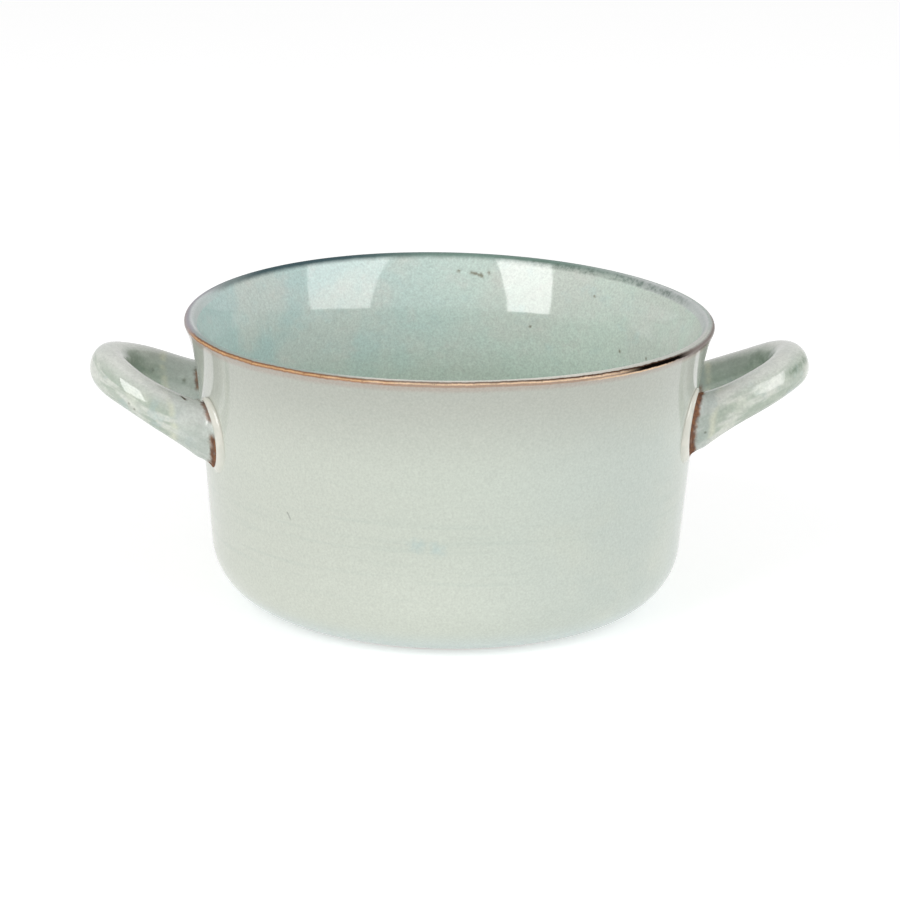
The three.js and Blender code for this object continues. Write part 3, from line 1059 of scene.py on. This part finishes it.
def handle_glaze():
    s = Shading("handle_glaze", **GLAZE)
    place = s.place()
    strap = Strap(s, place)
    colour = strap_root(s, strap, strap_colour(s, strap))
    colour = s.tinted(colour, s.noise(place, grain=1.3, detail=4.0, roughness=0.7), spread=0.4)
    colour = s.shaded(colour, s.level(1.0, 0.96, strap.on_right))
    bare = strap_bare(s, place, strap)
    clay = s.blend(s.between(s.noise(place, grain=1.2), *RUST_LEVELS), "strap_clay", "strap_rust")
    colour = s.cover(colour, clay, bare, share=0.92)
    colour, nick = strap_marks(s, place, colour)
    colour = s.tinted(colour, s.noise(place, FINE_GRAIN), spread=0.36)
    return s.finish(colour, s.noise(place, grain=2.0, detail=2.0), GLAZE_BUMP, s.most(bare, nick))


# Slip joints: across is 0 at the roll's outer foot and 1 at its inner foot
SLIP_PALE_LEVELS = (0.35, 0.65)
SLIP_LINE_ACROSS = (0.16, 0.0)
SLIP_LINE_HEIGHTS = (43.0, 52.0)
SLIP_WALL_ACROSS = (0.5, 0.0)
SLIP_WALL_HEIGHTS = (50.0, 41.0)


def slip_glaze():
    """Pale glaze with a dark line at the outer foot higher up, partly pooled glaze and partly painted
    shade, and the wall's colour there lower down.
    """
    s = Shading("slip_glaze", **GLAZE)
    place = s.place()
    height = s.parts(place)["Z"]
    across = s.value("across")
    colour = s.blend(s.between(s.noise(place, grain=3.0), *SLIP_PALE_LEVELS), "slip", "slip_pale")
    # The dark line is partly darker pooled glaze and partly painted shade in the crease where the roll
    # meets the wall.
    line = s.times(s.between(across, *SLIP_LINE_ACROSS), s.between(height, *SLIP_LINE_HEIGHTS))
    colour = s.cover(colour, "slip_line_and_shade", line, share=0.9)
    wall = s.times(s.between(across, *SLIP_WALL_ACROSS), s.between(height, *SLIP_WALL_HEIGHTS))
    colour = s.cover(colour, "wall_low", wall, share=0.7)
    return s.finish(colour, s.noise(place, grain=1.6, detail=2.0), GLAZE_BUMP)


# Foot
CLAY_PALE_LEVELS = (0.35, 0.65)


def bare_clay():
    s = Shading("bare_clay", Roughness=CLAY_ROUGHNESS)
    place = s.place()
    grains = s.noise(place, grain=0.35)
    colour = s.blend(s.between(s.noise(place, grain=6.0), *CLAY_PALE_LEVELS), "clay", "clay_pale")
    return s.finish(s.tinted(colour, grains, spread=0.4), grains, CLAY_BUMP)


# Stage

FLOOR_HALF_SIZE = 4000.0
FLOOR_DROP = 0.05
FLOOR_WHITE = 0.85
FLOOR_GLOW = 0.28
FLOOR_SEEN_GLOW = 0.42  # where it is seen, directly or mirrored: white up to the picture's edge
WORLD_LEVEL = 0.55
BACKGROUND_WHITE = 1.0
# Both softboxes stand as far and as high as each other. Besides the radiance that lights the bowl,
# each has a face behind it that only mirror images show.
LIGHT_DISTANCE = 1600.0
LIGHT_ELEVATION = 28.5
LIGHT_HEIGHT = 1250.0
LIGHT_FACE_BEHIND = 10.0
LIGHTS = {
    "left_softbox": {"azimuth": -43.8, "width": 660.0, "radiance": 3.6, "mirrored": 3.7},
    "right_softbox": {"azimuth": 53.3, "width": 1000.0, "radiance": 2.1, "mirrored": 1.8},
}
WHITE = (1, 1, 1, 1)


def direction(azimuth, elevation):
    """Unit vector from the bowl outwards: azimuth 0 is the front, elevation 0 is level."""
    turn = math.radians(azimuth)
    rise = math.radians(elevation)
    return Vector((math.sin(turn) * math.cos(rise), -math.cos(turn) * math.cos(rise), math.sin(rise)))


def seen_or_not(tree, seen, otherwise):
    """One level for what is seen, directly or mirrored, and another for the light on the bowl."""
    path = tree.nodes.new("ShaderNodeLightPath")
    level = tree.nodes.new("ShaderNodeMapRange")
    level.inputs["To Min"].default_value = otherwise
    level.inputs["To Max"].default_value = seen
    ray = path.outputs["Is Camera Ray"]
    for other in ("Is Glossy Ray", "Is Transmission Ray"):
        either = tree.nodes.new("ShaderNodeMath")
        either.operation = "MAXIMUM"
        tree.links.new(ray, either.inputs[0])
        tree.links.new(path.outputs[other], either.inputs[1])
        ray = either.outputs[0]
    tree.links.new(ray, level.inputs["Value"])
    return level.outputs[0]


def add_floor():
    half = FLOOR_HALF_SIZE
    sides = ((-half, -half), (half, -half), (half, half), (-half, half))
    corners = [(x, y, -FLOOR_DROP) for x, y in sides]
    material = bpy.data.materials.new("white_floor")
    material.use_nodes = True
    shader = material.node_tree.nodes["Principled BSDF"]
    shader.inputs["Base Color"].default_value = (FLOOR_WHITE,) * 3 + (1,)
    shader.inputs["Roughness"].default_value = 1.0
    shader.inputs["Specular IOR Level"].default_value = 0.0
    shader.inputs["Emission Color"].default_value = WHITE
    glow = seen_or_not(material.node_tree, FLOOR_SEEN_GLOW, FLOOR_GLOW)
    material.node_tree.links.new(glow, shader.inputs["Emission Strength"])
    new_piece("floor", corners, [(0, 1, 2, 3)], (material,))


def add_world():
    world = bpy.data.worlds.new("studio")
    bpy.context.scene.world = world
    world.use_nodes = True
    tree = world.node_tree
    background = tree.nodes["Background"]
    background.inputs["Color"].default_value = WHITE
    level = seen_or_not(tree, BACKGROUND_WHITE, WORLD_LEVEL)
    tree.links.new(level, background.inputs["Strength"])


def add_lamp(name, back, distance, width, radiance):
    """A softbox that faces the middle of the bowl."""
    lamp = bpy.data.lights.new(name, "AREA")
    lamp.shape = "RECTANGLE"
    lamp.size = width * METRES
    lamp.size_y = LIGHT_HEIGHT * METRES
    lamp.energy = math.pi * lamp.size * lamp.size_y * radiance
    light = bpy.data.objects.new(name, lamp)
    light.location = (BOWL_MIDDLE + back * distance) * METRES
    light.rotation_mode = "QUATERNION"
    light.rotation_quaternion = back.to_track_quat("Z", "Y")
    light.visible_camera = False
    bpy.context.scene.collection.objects.link(light)
    return light


def add_lights():
    for name, light in LIGHTS.items():
        back = direction(light["azimuth"], LIGHT_ELEVATION)
        add_lamp(name, back, LIGHT_DISTANCE, light["width"], light["radiance"])
        face_distance = LIGHT_DISTANCE + LIGHT_FACE_BEHIND
        face = add_lamp(name + "_face", back, face_distance, light["width"], light["mirrored"])
        face.visible_diffuse = False


def add_camera():
    back = direction(CAMERA_AZIMUTH, CAMERA_ELEVATION)
    right = Vector((0, 0, 1)).cross(back).normalized()
    up = back.cross(right)
    aim = BOWL_MIDDLE + right * AIM_RIGHT + up * AIM_UP
    data = bpy.data.cameras.new("camera")
    data.sensor_width = SENSOR_WIDTH
    data.lens = FOCAL_PIXELS / PHOTO_PIXELS * SENSOR_WIDTH
    camera = bpy.data.objects.new("camera", data)
    turn = Matrix((right, up, back)).transposed().to_4x4()
    roll = Matrix.Rotation(math.radians(CAMERA_ROLL), 4, "Z")
    camera.matrix_world = Matrix.Translation((aim + back * CAMERA_DISTANCE) * METRES) @ turn @ roll
    bpy.context.scene.collection.objects.link(camera)
    bpy.context.scene.camera = camera


def place_piece(piece, node):
    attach(piece, "root")
    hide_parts(node)


def build_bowl():
    place_piece(build_body(body_glaze(), bare_clay()), "bowl_body")
    strap_glaze = handle_glaze()
    roll_glaze = slip_glaze()
    for side, settings in HANDLES.items():
        handle = dict(settings, placement=loop_placement(settings))
        place_piece(build_handle(side, handle, strap_glaze), side + "_handle")
        for end in ENDS:
            # The left handle is turned half round, so its own front end is at the back of the bowl
            where = end if settings["facing"] == 0 else ENDS[1 - ENDS.index(end)]
            node = side + "_" + where + "_slip_joint"
            place_piece(build_roll(node, handle, end, roll_glaze), node)


build_bowl()
add_floor()
add_world()
add_lights()
add_camera()
bpy.context.scene.view_settings.view_transform = "Standard"
